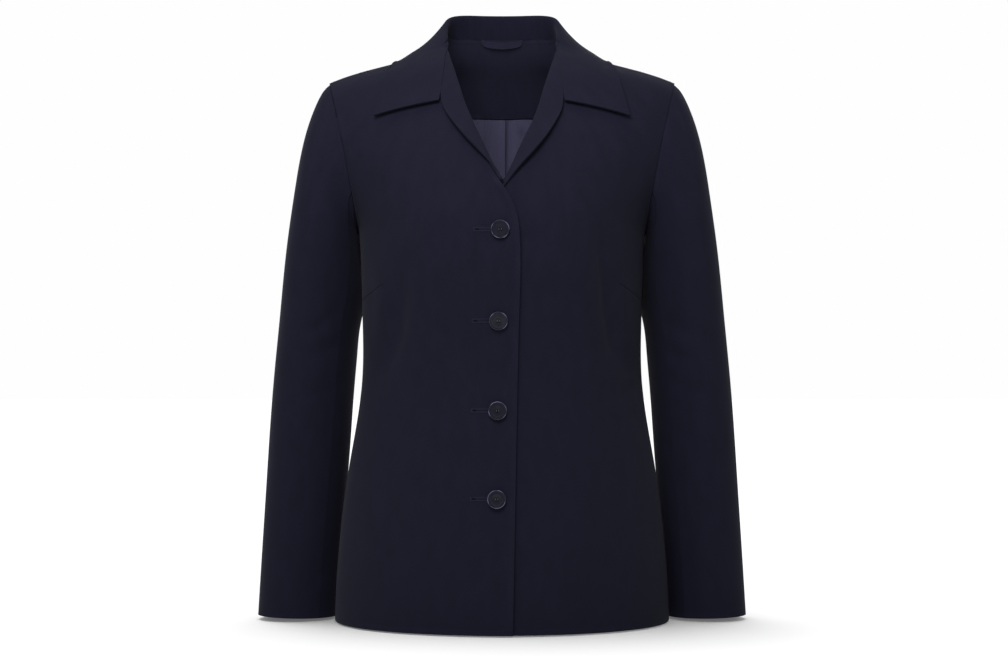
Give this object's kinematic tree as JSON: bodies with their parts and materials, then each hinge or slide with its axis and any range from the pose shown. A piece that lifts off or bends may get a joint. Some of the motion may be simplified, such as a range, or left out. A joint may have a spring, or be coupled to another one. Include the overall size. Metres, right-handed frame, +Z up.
{
  "type": "blazer",
  "caption": "Hip-length women's blazer with a notched collar and lapels, long sleeves and a buttoned front, filled out as worn, open at neck, cuffs and hem.",
  "frame": {"origin": "on the centre line in the neck opening, level with the back neck seam, where the wearer holds the garment up", "axes": "+Z up along the wearer, the front faces -Y, +X is the wearer's left"},
  "size_m": [0.5524, 0.2796, 0.6853],
  "materials": {
    "navy_suiting": "matt worsted suiting, very dark navy",
    "lining_satin": "satin lining, dull periwinkle blue",
    "button_horn": "charcoal resin with a soft shine"
  },
  "bodies": {
    "root": {"front_right": "navy_suiting", "front_left": "navy_suiting", "back_right": "navy_suiting", "back_left": "navy_suiting", "sleeve_right_top": "navy_suiting", "sleeve_right_under": "navy_suiting", "sleeve_left_top": "navy_suiting", "sleeve_left_under": "navy_suiting", "collar": "navy_suiting", "facing_right": "navy_suiting", "facing_left": "navy_suiting", "back_neck_facing": "navy_suiting", "lining_back": "lining_satin", "hanger_loop": "navy_suiting", "button_1": "button_horn", "button_2": "button_horn", "button_3": "button_horn", "button_4": "button_horn"}
  },
  "joints": []
}
